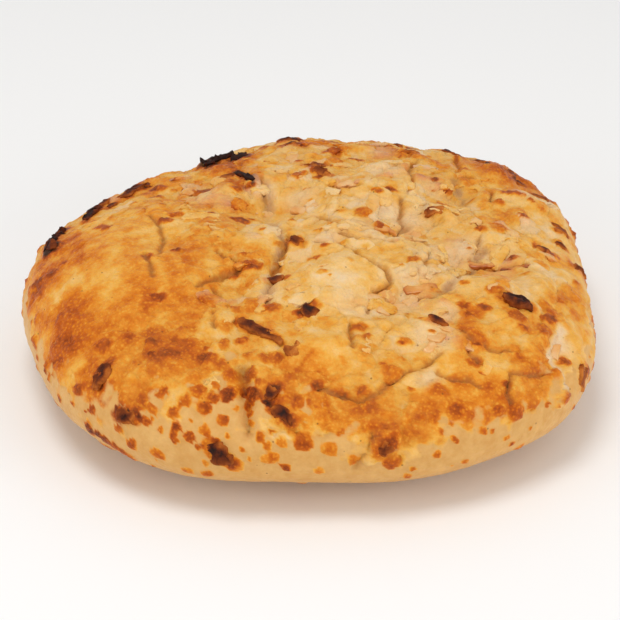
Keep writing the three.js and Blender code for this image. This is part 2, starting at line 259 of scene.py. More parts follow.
# Blisters of toasted cheese on the wall: pixel, radius and how toasted they are.
SEEN_BLISTERS = [
    (226, 394, 2.7, 0.78), (205, 409, 2, 0.66), (174, 414, 1.7, 0.68), (223, 421, 1.8, 0.66),
    (205, 431, 1.7, 0.56), (157, 454, 2.4, 0.64), (131, 444, 2.2, 0.66), (177, 428, 1.6, 0.74),
    (190, 437, 1.8, 0.74), (176, 441, 1.4, 0.7), (187, 471, 2, 0.58), (207, 474, 2, 0.58),
    (92, 409, 1.7, 0.73), (146, 421, 1.9, 0.7), (79, 391, 2, 0.72), (59, 398, 1.2, 0.72),
    (47, 364, 1.4, 0.66), (59, 367, 1.4, 0.64), (37, 318, 1.5, 0.64), (35, 340, 1.5, 0.64),
    (222, 364, 2, 0.64), (236, 309, 1.8, 0.56), (226, 326, 2.2, 0.56), (223, 343, 2, 0.6),
    (162, 392, 1.9, 0.68), (195, 377, 3, 0.54), (250, 373, 2.3, 0.72), (260, 382, 1.4, 0.62),
    (248, 356, 1.6, 0.58), (261, 435, 1.4, 0.6), (268, 445, 1.5, 0.56), (282, 444, 1.7, 0.58),
    (267, 459, 2, 0.56), (285, 468, 1.5, 0.76), (304, 443, 3, 0.64), (329, 449, 2.2, 0.54),
    (327, 425, 2, 0.56), (355, 459, 1.7, 0.54), (319, 417, 2, 0.54), (294, 424, 1.8, 0.58),
    (296, 401, 2.6, 0.64), (320, 471, 1.6, 0.5), (391, 463, 2.4, 0.66), (435, 416, 1.8, 0.64),
    (452, 423, 1.1, 0.58), (441, 432, 1.3, 0.66), (437, 454, 1.2, 0.6), (484, 431, 1.6, 0.64),
    (506, 437, 1, 0.58), (499, 411, 1.7, 0.68), (517, 414, 2.4, 0.7), (534, 405, 2, 0.64),
    (566, 397, 2.2, 0.64), (408, 476, 1.6, 0.58), (520, 447, 1.8, 0.56), (89, 429, 2, 0.8),
    (97, 434, 2, 0.8), (105, 440, 1.9, 0.76), (114, 446, 1.9, 0.74), (123, 452, 1.9, 0.7),
    (132, 458, 1.8, 0.66), (209, 398, 1, 0.6), (194, 403, 0.7, 0.58), (192, 420, 0.7, 0.6),
    (198, 446, 1, 0.7), (206, 462, 1.4, 0.5), (236, 466, 2.6, 0.5), (249, 402, 1.8, 0.72),
    (250, 412, 1.5, 0.68), (251, 422, 1.2, 0.62), (272, 459, 2.4, 0.56), (291, 428, 2, 0.58),
    (283, 400, 1.8, 0.58), (301, 417, 1.6, 0.5), (175, 444, 1.2, 0.66), (175, 434, 1.4, 0.72),
    (35, 338, 1.2, 0.66), (36, 347, 1.2, 0.66), (37, 357, 1.1, 0.64), (46, 366, 1.4, 0.62),
    (49, 376, 1.3, 0.62), (140, 400, 1.6, 0.66), (152, 408, 1.4, 0.62), (118, 428, 1.4, 0.64),
    (238, 408, 1, 0.56), (215, 384, 1.6, 0.62), (372, 424, 2, 0.6), (404, 440, 1.8, 0.58),
    (416, 432, 1.6, 0.6), (470, 414, 1.6, 0.64), (232, 375, 2.4, 0.6), (240, 388, 1.8, 0.58),
    (213, 398, 1.6, 0.66), (197, 391, 2.2, 0.64), (185, 401, 1.6, 0.62), (248, 390, 2, 0.8),
    (254, 396, 2.2, 0.78), (214, 440, 1, 0.6), (228, 436, 1, 0.58), (242, 448, 1.2, 0.58),
    (160, 430, 1.2, 0.62), (340, 432, 1.4, 0.58),
]
# More by chance: blisters below the cheese's edge, smaller where the photograph shows the wall,
# patches on the sides that it doesn't show, and small marks all over the crags.
CHANCE_BLISTERS = 190
BLISTER_RADIUS = (0.8, 2.4)
BLISTER_TOAST = (0.54, 0.74)
BLISTER_LIFT = 2.0
BLISTER_DROP = 7.0
LOWEST_BLISTER = 6.0
SEEN_SHRINK = 0.55
UNSEEN_PATCHES = 16
PATCH_HEIGHT = (26, 42)
PATCH_RADIUS = (7, 13)
PATCH_STRENGTH = (-0.05, 0.24)
UNSEEN_SEED = 7
CHANCE_MARKS = 110
MARK_RADIUS = (0.7, 1.7)
MARK_STRENGTH = (0.04, 0.26)
MARK_SEED = 5
# More toast for every mark, the stretch of distances that makes marks oblong, and how high marks
# and blisters stand.
MARK_TOAST = 0.12
MARK_STRETCH = np.array([0.8, 1.15, 1.0])
MARK_HEIGHT = 0.35
BLISTER_HEIGHT = 0.5

# Charred onion shreds: bearing, rise, length, width and turn as the solid has them, and how charred.
LARGE_SHREDS = [
    (117, 14, 13, 5, 0, 1), (122, 30, 13, 2, 88, 0.95), (171, 11, 18, 4, 5, 0.9),
    (161, 14, 10, 4, 0, 0.85), (147, 15, 13, 4, 0, 0.72), (97, 15, 9, 3.5, 0, 0.75),
    (253, 23, 18, 3.5, -26, 0.65), (263, 20, 5, 4, 10, 0.3), (252, 2, 8, 5, -40, 0.76),
    (225, 9, 9, 4, -80, 0.72), (234, 5, 7, 4.5, 0, 0.68), (260, 12, 4.5, 3.5, 70, 0.72),
    (263, 9, 8, 3.5, -36, 0.75), (266, 29, 5, 4, 60, 0.75), (327, 19, 9, 5, -55, 0.82),
    (1, 8, 6, 4, 80, 0.55), (328, 3, 8, 5, 40, 0.4), (20, 34, 7, 3.5, 75, 0.42),
    (90, 33, 6, 4.5, 60, 0.5), (57, 12, 7, 3.5, 0, 0.7), (229, 68, 4.5, 3.5, 30, 0.7),
    (246, 40, 5, 3, 40, 0.7), (305, 22, 5, 3.5, -20, 0.66), (282, 3, 4.5, 4, 15, 0.52),
    (14, 11, 6, 3, 80, 0.5), (154, 13, 6, 3, 0, 0.68), (62, 21, 7, 3.5, 20, 0.5),
]
# Burnt flakes too small for the solid, the same way.
BURNT_FLAKES = [
    (176, 12, 6, 3, 30, 0.8), (156, 15, 5, 3, 20, 0.62), (121, 15.5, 4, 3, 20, 0.9),
    (113, 17, 5, 3, -30, 0.95), (91, 31, 6, 5, 30, 0.62), (88, 36, 5, 4, -40, 0.55),
    (29, 11, 6, 3, 30, 0.6), (17, 10, 5, 3, 60, 0.7), (1, 15, 4, 3, 45, 0.65), (126, 26, 5, 3, 0, 0.45),
    (42, 12, 5, 3, 10, 0.6), (70, 14, 5, 3, -20, 0.6), (111, 15, 4, 3, 10, 0.95),
    (168, 11, 4, 3, -30, 0.85), (141, 15, 4, 3, 20, 0.6), (98, 18.5, 4, 2.5, 10, 0.65),
    (49, 12, 4, 2.5, 0, 0.65), (36, 12, 4, 2.5, 20, 0.6), (8, 11, 4, 2.5, 60, 0.6),
]
SHRED_THICKNESS = 1.8
SHRED_PROUD = 0.6
SCORCH_REACH = 1.4
SCORCH_TOAST = 0.40
# How many places along onion are laid on the crust, how far off they are looked for, and how deep
# the crests may bury a strip that bridges them.
STATIONS = 9
LAY_REACH = 8.0
CREST_SINK = 0.3

# Small pale onion, by the rule that the solid has.
SMALL_SHREDS = 26
SMALL_REACH = 80.0
SMALL_LENGTH = 6.5
SMALL_WIDTH = 3.7
SHRED_SPREAD = 0.25
GOLDEN_ANGLE = 137.508
JITTER = 9.0
CHIP_THICKNESS = 1.8
CHIP_ROUGH = 1.4
CHIP_LUMPY = 0.6
CHIP_TONE = -0.03
CHIP_WETNESS = 0.3

# Slabs of onion coated with cheese, spread over the crags on a golden angle.
SLABS = 150
SLAB_REACH = 86.0
SLAB_LENGTH = (4.0, 13.0)
SLAB_WIDTH = (2.6, 6.5)
SLAB_THICKNESS = 2.2
SLAB_PROUD = (-0.3, 0.5)
SLAB_BEND = (-0.15, 0.15)
SLAB_LEAN = (-0.2, 0.2)
SLAB_ROUGH = 1.3
# How much browner than the crust slabs are all over and at one end, and how moist.
SLAB_TONE = (-0.16, 0.08)
SLAB_BROWNING = (-0.3, 0.28)
SLAB_WETNESS = (-0.8, 0.9)
# Slabs are left out where the crust is steeper than this.
SLAB_LEVEL = 0.8
SLAB_SEED = 11
# Areas without slabs: place on the plan and radius.
SLAB_FREE_AREAS = [
    (-62, -20, 34), (7, -31, 16), (-55, -60, 26), (-5, -82, 26), (-95, 10, 30), (62, -44, 24),
    (24, -66, 20),
]

# Onion strips and chunks in the cheese: pixel, length, width, turn and how browned.
ONION_STRIPS = [
    (480, 266, 10, 2.2, -8, 0.6), (517, 267, 11, 1.6, 2, 0.65), (420, 290, 10, 3.6, 4, 0.45),
    (495, 276, 9, 2.4, -5, 0.3), (386, 230, 7, 2.6, 12, 0.35), (500, 286, 8, 2.6, 0, 0.2),
    (374, 300, 5, 3.6, 30, 0.05), (388, 296, 6, 4, -20, 0.1), (399, 306, 5, 3.4, 60, 0.05),
    (384, 311, 5, 3.6, 0, 0.12), (410, 301, 5, 3.8, 40, 0.05), (437, 337, 6, 4, 30, 0.1),
    (447, 329, 5, 3.4, -30, 0.08), (430, 346, 5, 3.6, 70, 0.12), (292, 158, 6, 5, 80, 0.05),
    (190, 190, 5, 4.4, 20, 0.2), (414, 238, 6, 4, 60, 0.05), (300, 212, 6, 3.6, -30, 0.05),
    (312, 206, 5, 3.4, 40, 0.05), (346, 184, 6, 3, 0, 0.12), (556, 352, 6, 2.6, 80, 0.05),
]
STRIP_THICKNESS = 1.6
STRIP_PROUD = 0.25
STRIP_ROUGH = 0.8

# What each vertex of the crust keeps for its finish: toast, cheese cover, moisture and painted shade.
FINISH_NAMES = ("toast", "cheese", "moist", "painted_shade")


def linear(hex_colour):
    """An sRGB hex value as linear red, green, blue and alpha."""
    parts = [int(hex_colour[i : i + 2], 16) / 255 for i in (0, 2, 4)]
    return [p / 12.92 if p <= 0.04045 else ((p + 0.055) / 1.055) ** 2.4 for p in parts] + [1.0]


def smoothstep(low, high, value):
    """0 up to low, 1 from high and eased between them, for one value or many."""
    share = np.clip((value - low) / (high - low), 0, 1)
    return share * share * (3 - 2 * share)


def stray(number, salt):
    """A repeatable stray value from -1 to 1 for the piece of that number."""
    return math.sin(12.9898 * number + 78.233 * salt)


def direction_of(bearing, rise):
    """The unit direction at a bearing and a rise above the horizon, in degrees."""
    b, r = math.radians(bearing), math.radians(rise)
    return Vector((math.cos(b) * math.cos(r), math.sin(b) * math.cos(r), math.sin(r)))


def add_object(name, data):
    made = bpy.data.objects.new(name, data)
    bpy.context.scene.collection.objects.link(made)
    return made


def new_mesh(bm, name):
    """A mesh of what was modelled, which is then let go."""
    mesh = bpy.data.meshes.new(name)
    bm.to_mesh(mesh)
    bm.free()
    return mesh


def finish_piece(bm, name, material):
    """Moves a mesh from the loaf's millimetres into the frame, as a piece that rides on the loaf."""
    bm.transform(FROM_LOAF)
    bm.normal_update()
    mesh = new_mesh(bm, name)
    mesh.shade_smooth()
    mesh.materials.append(material)
    piece = add_object(name, mesh)
    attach(piece, "root")
    return piece


# The stage: camera, soft light and a pale floor.


def make_camera():
    data = bpy.data.cameras.new("photo_camera")
    data.lens = CAMERA_LENS
    data.sensor_width = SENSOR_WIDTH
    camera = add_object("photo_camera", data)
    camera.location = (CAMERA_AIM + CAMERA_BACK * CAMERA_DISTANCE) * MM
    camera.rotation_euler = (-CAMERA_BACK).to_track_quat("-Z", "Y").to_euler()
    bpy.context.scene.camera = camera


def make_softbox(name, place, size, power):
    data = bpy.data.lights.new(name, "AREA")
    data.shape = "DISK"
    data.size = size
    data.energy = power
    lamp = add_object(name, data)
    lamp.location = place
    lamp.rotation_euler = (CAMERA_AIM * MM - Vector(place)).to_track_quat("-Z", "Y").to_euler()


def make_stage():
    make_camera()
    for softbox in SOFTBOXES:
        make_softbox(*softbox)
    world = bpy.data.worlds.new("studio")
    bpy.context.scene.world = world
    world.use_nodes = True
    world.node_tree.nodes["Background"].inputs["Color"].default_value = (1, 1, 1, 1)
    world.node_tree.nodes["Background"].inputs["Strength"].default_value = WORLD_LIGHT
    bpy.context.scene.view_settings.view_transform = "Standard"
    bm = bmesh.new()
    bmesh.ops.create_grid(bm, x_segments=1, y_segments=1, size=FLOOR_REACH)
    mesh = new_mesh(bm, "floor")
    mesh.materials.append(studio_sweep())
    add_object("floor", mesh)


# Places on the loaf.


def solid_skin():
    """The solid's surface with its facets smoothed away, in the loaf's own millimetres."""
    bm = bmesh.new()
    bm.from_mesh(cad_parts[LOAF_NODE].data)
    bmesh.ops.remove_doubles(bm, verts=bm.verts, dist=1e-6)
    bm.transform(FROM_LOAF.inverted())
    skin = add_object("skin", new_mesh(bm, "skin"))
    remesh = skin.modifiers.new("even", "REMESH")
    remesh.mode = "VOXEL"
    remesh.voxel_size = SKIN_VOXEL
    smooth = skin.modifiers.new("unfacet", "SMOOTH")
    smooth.factor = 0.5
    smooth.iterations = SKIN_SMOOTHING
    tree = BVHTree.FromObject(skin, bpy.context.evaluated_depsgraph_get())
    bpy.data.objects.remove(skin)
    return tree


def seen_at(tree, u, v):
    """Where the photograph's pixel u, v is on the surface, with the normal there."""
    focal = PHOTO_SIDE * CAMERA_LENS / SENSOR_WIDTH
    ray = CAMERA_UP * ((PHOTO_SIDE / 2 - v) / focal) - CAMERA_BACK
    ray.x = (u - PHOTO_SIDE / 2) / focal
    return tree.ray_cast(EYE, ray.normalized())[:2]


def from_heart(tree, bearing, rise):
    """Where a line from the heart leaves the surface, with the normal there."""
    outward = direction_of(bearing, rise)
    return tree.ray_cast(HEART + outward * FAR, -outward)[:2]


def on_top(tree, x, y):
    return tree.ray_cast(Vector((x, y, FAR)), Vector((0, 0, -1)))[:2]


def on_wall(tree, bearing, height):
    outward = direction_of(bearing, 0)
    return tree.ray_cast(Vector((0, 0, height)) + outward * FAR, -outward)[:2]


def unseen(place, normal):
    return normal.dot(EYE - place) < 0


def on_dome(place):
    """Whether a place on the plan is on the dome that melted smooth."""
    return in_areas(np.array([place]), [SMOOTH_DOME])[0] > 0.5


def golden_spread(count, reach, salt):
    """Bearings and radii of places spread evenly over the plan, strayed a little."""
    bearings = [i * GOLDEN_ANGLE + JITTER * stray(i, salt) for i in range(count)]
    return [(bearing, reach * math.sqrt((i + 0.5) / count)) for i, bearing in enumerate(bearings)]


def seen_features(skin, features):
    """Features with their pixels turned into places on the skin."""
    return [(np.array(seen_at(skin, u, v)[0]), size, strength) for u, v, size, strength in features]


def lay_marks(skin):
    """Every toasted mark's place, radius and strength: those that are seen, then small ones by chance."""
    draw = random.Random(MARK_SEED)
    marks = seen_features(skin, TOASTED_MARKS)
    for bearing, out in golden_spread(CHANCE_MARKS, SLAB_REACH, 5):
        place = direction_of(bearing, 0) * out
        radius, strength = draw.uniform(*MARK_RADIUS), draw.uniform(*MARK_STRENGTH)
        if not on_dome(place):
            marks.append((np.array(on_top(skin, place.x, place.y)[0]), radius, strength))
    return marks


def edge_height(bearing):
    """How low the cheese runs at a bearing."""
    return np.interp(bearing, *zip(*CHEESE_EDGE))


def lay_blisters(skin):
    """Every blister's place, radius and toast."""
    draw = random.Random(UNSEEN_SEED)
    blisters = seen_features(skin, SEEN_BLISTERS)
    for i in range(CHANCE_BLISTERS):
        bearing = draw.uniform(0, 360)
        height = edge_height(bearing) + BLISTER_LIFT - draw.expovariate(1 / BLISTER_DROP)
        radius, toast = draw.uniform(*BLISTER_RADIUS), draw.uniform(*BLISTER_TOAST)
        place, normal = on_wall(skin, bearing, max(LOWEST_BLISTER, height))
        blisters.append((place, radius if unseen(place, normal) else SEEN_SHRINK * radius, toast))
    return blisters


def lay_patches(skin):
    """Every toasted or pale patch's place, radius and strength."""
    draw = random.Random(UNSEEN_SEED + 1)
    patches = seen_features(skin, TOAST_PATCHES)
    while len(patches) < len(TOAST_PATCHES) + UNSEEN_PATCHES:
        bearing, height = draw.uniform(0, 360), draw.uniform(*PATCH_HEIGHT)
        radius, strength = draw.uniform(*PATCH_RADIUS), draw.uniform(*PATCH_STRENGTH)
        place, normal = on_wall(skin, bearing, height)
        if unseen(place, normal):
            patches.append((place, radius, strength))
    return patches


def small_shreds():
    """Bearing, rise, length, width and turn of every small shred."""
    shreds = []
    for i, (bearing, out) in enumerate(golden_spread(SMALL_SHREDS, SMALL_REACH, 1)):
        rise = math.degrees(math.atan2(CROWN - WAIST, out))
        length = SMALL_LENGTH * (1 + SHRED_SPREAD * stray(i, 2))
        width = SMALL_WIDTH * (1 + SHRED_SPREAD * stray(i, 3))
        if not on_dome(direction_of(bearing, 0) * out):
            shreds.append((bearing, rise, length, width, 90 * stray(i, 4)))
    return shreds


def slab_places():
    """Where slabs lie on the plan: spread evenly, but not where the crust melted smooth."""
    places = [direction_of(bearing, 0) * out for bearing, out in golden_spread(SLABS, SLAB_REACH, 1)]
    return [place for place in places if in_areas(np.array([place]), SLAB_FREE_AREAS)[0] < 0.4]


# Fields over many points at once.


def clouds(points, size, salt=0.0):
    """Smooth noise from -1 to 1, with lumps of about that size."""
    return np.array([noise.noise(p) for p in (points / size + salt).tolist()])


def strayed(points, orders):
    """Points strayed smoothly, so that what is worked out from them gets an uneven outline."""
    moved = points
    for size, reach in orders:
        moved = moved + reach * np.array([noise.noise_vector(p) for p in (points / size).tolist()])
    return moved


def away(points, place):
    return np.linalg.norm(points - np.array(place), axis=1)


def fading(points, place, radius):
    """1 at a place, fading out past its radius."""
    return np.exp(-((away(points, place) / radius) ** 2))


def in_areas(points, areas):
    """1 in the middle of any of the areas on the plan, fading out past their radius."""
    spots = [((points[:, 0] - x) ** 2 + (points[:, 1] - y) ** 2) / radius**2 for x, y, radius in areas]
    return np.max(np.exp(-np.array(spots)), axis=0)


def lumps(points):
    """Soft mounds with sharp valleys between them, in millimetres about a mean of 0."""
    bent = strayed(points, LUMP_BEND)
    mounds = [height * np.abs(clouds(bent, size)) ** 0.6 for size, height in LUMPS]
    total = np.sum(mounds, axis=0)
    return total - total.mean()


def pinched(gap):
    """How far a crease at that distance draws a point towards it."""
    return PINCH * gap * np.exp(-((gap / PINCH_REACH) ** 2))


def plates(points, size, lean, tone, wet):
    """Irregular plates, each leaning its own way, with creases between them.

    Gives their height, toast, moisture, how far each point is in a crease, and how creases pull it.
    """
    heights, tones, wetness, gaps, towards = [], [], [], [], []
    for p in strayed(points, PLATE_BEND) / size:
        near, middles = noise.voronoi(p)
        tilt = noise.noise_vector(middles[0] * 5.3)
        step = middles[1] - middles[0]
        heights.append(2 * tilt.dot(Vector(p) - middles[0]) + 0.6 * tilt.x)
        tones.append(tilt.y)
        wetness.append(tilt.z)
        gaps.append(size * (near[1] ** 2 - near[0] ** 2) / (2 * step.length))
        towards.append(step.normalized())
    gap = np.array(gaps)
    drawn = pinched(gap)
    crease = np.exp(-(((gap - drawn) / PLATE_CREASE) ** 2))
    height = lean * (np.array(heights) - 0.6 * crease)
    moist = wet * smoothstep(0.25, 0.6, np.array(wetness))
    return height, tone * np.array(tones), moist, crease, drawn[:, None] * np.array(towards)


def browned(toast):
    """Slows the browning past orange, so that patches that overlap don't burn."""
    return np.minimum(toast, 0.5) + 0.25 * np.tanh(np.maximum(0, toast - 0.5) / 0.25)


def cheese_cover(points):
    """How far inside the cheese's edge a point is: above 0 it is covered."""
    bearing = np.degrees(np.arctan2(points[:, 1], points[:, 0])) % 360
    ragged = 1.2 * clouds(points, 6.5) + 0.8 * clouds(points, 2.8)
    return (points[:, 2] - edge_height(bearing)) / 8.0 + ragged


def crease_line(stops):
    """Points about every half millimetre along the straight runs between stops."""
    points = []
    for start, end in zip(stops, stops[1:]):
        steps = max(1, round((end - start).length / 0.5))
        points += [start.lerp(end, i / steps) for i in range(steps + 1)]
    return points


def creases(points, normals, skin):
    """What the creases do to each point.

    Gives how far they lower it, their stain there (browner above 0, partly painted shade; pale below), the
    painted shade of those that aren't pale, and how they pull it.
    """
    line, kinds, ahead = [], [], []
    for find, group in ((on_top, TOP_CREASES), (seen_at, SEEN_CREASES)):
        for width, depth, stain_and_shade, step, stops in group:
            run = crease_line([find(skin, *stop)[0] for stop in stops])
            last = len(run) - 1
            line += run
            for i in range(last + 1):
                kinds.append((width, depth, stain_and_shade, 2 * step * math.sqrt(i * (last - i)) / last))
                ahead.append((run[min(i + 1, last)] - run[max(i - 1, 0)]).normalized())
    tree = KDTree(len(line))
    for i, place in enumerate(line):
        tree.insert(place, i)
    tree.balance()
    found = [tree.find(p) for p in points.tolist()]
    nearest = [i for place, i, distance in found]
    offset = points - np.array([place for place, i, distance in found])
    gap = np.maximum(1e-6, [distance for place, i, distance in found])
    width, depth, stain_and_shade, step = np.array(kinds)[nearest].T
    drawn = pinched(gap)
    inside = np.exp(-(((gap - drawn) / width) ** 2))
    lip = np.exp(-(((gap - 2.4 * width) / (1.4 * width)) ** 2))
    left = np.sum(np.cross(np.array(ahead)[nearest], offset) * normals, axis=1) / gap
    lowered = depth * (inside - 0.25 * lip) - 0.5 * step * left * np.exp(-gap / STEP_REACH)
    pull = -offset * (drawn / gap)[:, None]
    return lowered, stain_and_shade * inside, inside * smoothstep(-0.45, -0.2, stain_and_shade), pull


def toasted(points, patches, marks):
    """How toasted the cheese is at each point, and how far the point is inside a toasted mark."""
    wander = strayed(points, WANDER)
    toast = np.full(len(points), BASE_TOAST)
    for size, strength in TOAST_CLOUDS:
        toast += strength * clouds(points, size)
    for place, radius, strength in patches:
        toast += strength * fading(wander, place, radius)
    marked = np.zeros(len(points))
    for place, radius, strength in marks:
        inside = 1 - smoothstep(0.55, 1.1, away(wander * MARK_STRETCH, place * MARK_STRETCH) / radius)
        toast += (strength + MARK_TOAST) * inside
        marked = np.maximum(marked, inside)
    return toast, marked


def scorches(points, skin):
    """For each charred shred, how far every point is inside the crust that it scorched."""
    for bearing, rise, length, width, turn, char in LARGE_SHREDS + BURNT_FLAKES:
        middle, normal, along = shred_spot(skin, bearing, rise, turn)
        offset = points - np.array(middle)
        run = np.clip(offset @ np.array(along), -length / 2, length / 2)
        gap = np.linalg.norm(offset - run[:, None] * np.array(along), axis=1)
        yield char * (1 - smoothstep(0.3 * width, 0.5 * width + SCORCH_REACH, gap))


# The loaf.


def section_table():
    """Shares of the way along the section from the crown to the base, with radius and height there."""
    turn = np.linspace(0, math.pi, 721)
    power = 2 / SQUARENESS
    out = RADIUS * np.abs(np.sin(turn)) ** power
    up = np.sign(np.cos(turn)) * np.abs(np.cos(turn)) ** power
    z = WAIST + np.where(up > 0, (CROWN - WAIST) * up, WAIST * up)
    run = np.concatenate([[0.0], np.cumsum(np.hypot(np.diff(out), np.diff(z)))])
    return run / run[-1], out, z


def laid_ball(skin):
    """A ball of even quads, spread along the loaf's section and laid on the solid's skin."""
    share, out, z = section_table()
    bm = bmesh.new()
    bmesh.ops.create_cube(bm, size=2.0)
    bmesh.ops.subdivide_edges(bm, edges=bm.edges, cuts=BALL_CUTS, use_grid_fill=True)
    for v in bm.verts:
        on_ball = Vector([math.tan(c * math.pi / 4) for c in v.co]).normalized()
        turn = math.acos(max(-1.0, min(1.0, on_ball.z))) / math.pi
        along = turn * (1 - DRAWN_UP) + turn**3 * DRAWN_UP
        radius = np.interp(along, share, out)
        bearing = math.atan2(on_ball.y, on_ball.x)
        rough = Vector((radius * math.cos(bearing), radius * math.sin(bearing), np.interp(along, share, z)))
        inward = (HEART - rough).normalized()
        hit = skin.ray_cast(HEART - inward * FAR, inward)[0]
        v.co = hit if hit else rough
    bm.normal_update()
    return bm


def raise_crust(bm, skin, patches, marks):
    """Raises the laid ball into crust, and keeps on each vertex what its finish needs."""
    points = np.array([v.co for v in bm.verts])
    normals = np.array([v.normal for v in bm.verts])
    wander = strayed(points, WANDER)
    cover = cheese_cover(points)
    topped = smoothstep(-0.2, 0.5, cover)
    smooth = in_areas(points, SMOOTH_AREAS)
    craggy = topped * (1 - 0.7 * smooth) * (0.85 + 0.4 * clouds(points, 24.0, 5.0))

    # Lumps, plates and creases, with their toast and moisture, and painted shade in the creases and low
    # places.
    relief = lumps(points)
    toast, marked = toasted(points, patches, marks)
    lowered, stain_and_shade, painted_shade, pull = creases(wander, normals, skin)
    moist = np.zeros(len(points))
    for kind in PLATES:
        rise, tone, wetness, crease, towards = plates(points, *kind)
        relief += rise
        toast += craggy * tone
        moist = np.maximum(moist, craggy * wetness)
        painted_shade = np.maximum(painted_shade, 0.32 * craggy * crease)
        pull += craggy[:, None] * towards
    relief *= craggy
    # Crease stains shift the toast: browner, partly real toasting and partly painted shade, or paler where
    # the crease is pale.
    toast += 0.04 * relief + stain_and_shade
    patchy = smoothstep(0.0, 0.35, clouds(points, 14.0, 9.0))
    toast += 0.22 * patchy * smoothstep(0.5, 1.3, relief)
    # Painted shade in the low places of the relief, under the cheese.
    painted_shade = topped * np.maximum(painted_shade, 0.3 * smoothstep(0.5, 1.8, -relief))

    # Plates are moist only in some areas, and toast dries them; bare onion keeps its place moist.
    slab_free = smoothstep(0.2, 0.6, in_areas(points, SLAB_FREE_AREAS))
    moist *= smoothstep(-0.2, 0.25, clouds(points, 20.0, 3.0)) * (1 - slab_free)
    moist *= 1 - smoothstep(*DRY_TOAST, toast)
    for place, radius, strength in seen_features(skin, MOIST_PLACES):
        moist = np.maximum(moist, strength * fading(wander, place, radius))
    moist = np.maximum(moist, -2 * stain_and_shade) * (1 - marked)

    # The height of the crust, with granules where it is toasted and a step at the cheese's edge.
    granule = 0.55 - np.array([noise.voronoi(p)[0][0] for p in (points / GRANULE).tolist()])
    grainy = 0.08 + 0.42 * smoothstep(*GRAINY_TOAST, toast)
    height = relief + topped * grainy * granule + MARK_HEIGHT * marked - lowered
    height += 0.5 * smoothstep(-0.05, 0.15, cover) - 0.25 + 0.12 * clouds(points, 2.5)
    for place, radius, rise in seen_features(skin, SEEN_MOUNDS):
        height += rise * fading(points, place, radius)

    # Blisters, and crust scorched around charred onion.
    toast = browned(toast)
    cover = np.maximum(np.maximum(cover, 2 * stain_and_shade - 0.25), marked - RIM_COVER)
    for place, radius, level in lay_blisters(skin):
        reach = away(wander, place) / radius
        inside = 1 - smoothstep(0.7, 1.2, reach)
        browning = 1 - smoothstep(0.95, 1.4, reach)
        toast += browning * (level + 0.02 - 0.10 * np.minimum(reach, 1.2) ** 2 - toast)
        cover = np.maximum(cover, inside - RIM_COVER)
        height += BLISTER_HEIGHT * inside
    for inside in scorches(wander, skin):
        toast += SCORCH_TOAST * inside
        cover = np.maximum(cover, inside - RIM_COVER)

    keep_finish(bm, toast, cover, moist, painted_shade)
    pull -= normals * np.sum(pull * normals, axis=1)[:, None]
    for v, rise, sideways in zip(bm.verts, height, pull):
        if v.co.z > FLAT_BASE:
            v.co += v.normal * rise + Vector(sideways)
            v.co.z = max(0.0, v.co.z)
    bm.normal_update()


def keep_finish(bm, *kept):
    """Keeps what the crust's finish reads on each vertex."""
    for name, values in zip(FINISH_NAMES, kept):
        layer = bm.verts.layers.float.new(name)
        for v, value in zip(bm.verts, values):
            v[layer] = value


def make_loaf(skin, patches, marks, finish):
    """The loaf; gives a tree of its raised surface to lay pieces on."""
    bm = laid_ball(skin)
    raise_crust(bm, skin, patches, marks)
    surface = BVHTree.FromBMesh(bm)
    loaf = finish_piece(bm, "loaf", finish)
    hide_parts(LOAF_NODE)
    return surface


# Onion, bent from rounded blocks.


def rounded_block(squareness):
    """A block of unit size with rounded edges, from a ball of even triangles."""
    bm = bmesh.new()
    bmesh.ops.create_icosphere(bm, subdivisions=4, radius=1.0)
    for v in bm.verts:
        reach = sum(abs(c) ** squareness for c in v.co) ** (1 / squareness)
        v.co *= 0.5 / reach
    return new_mesh(bm, "block")


def lie_along(bearing, normal, turn):
    """The direction of a strip: level along the crust at a bearing, then turned about the normal."""
    level = direction_of(bearing + 90, 0)
    level = (level - normal * level.dot(normal)).normalized()
    return Matrix.Rotation(math.radians(turn), 3, normal) @ level


def shred_spot(skin, bearing, rise, turn):
    """The spot of a shred: its middle, the normal there and the way that it points."""
    middle, normal = from_heart(skin, bearing, rise)
    return middle, normal, lie_along(bearing, normal, turn)


def evened(heights):
    """Each height averaged with those of its neighbours."""
    return np.convolve(np.pad(heights, 2, mode="edge"), np.ones(5) / 5, mode="valid")


def lay_stations(surface, spot, length, width, bend):
    """Points along a strip's path over the surface, evened so that it bridges creases."""
    middle, normal, along = spot
    across = normal.cross(along)
    flat, heights = [], []
    for i in range(STATIONS):
        t = i / (STATIONS - 1) - 0.5
        point = middle + along * (t * length) + across * (bend * length * (4 * t * t - 0.5))
        starts = [point + across * (side * width) + normal * LAY_REACH for side in (-0.3, 0.0, 0.3)]
        hits = [surface.ray_cast(start, -normal, 2 * LAY_REACH)[0] for start in starts]
        flat.append(point)
        heights.append(max([(hit - point).dot(normal) for hit in hits if hit], default=0.0))
    kept_up = np.maximum(evened(heights), np.array(heights) - CREST_SINK)
    return [p + normal * h for p, h in zip(flat, evened(kept_up))]


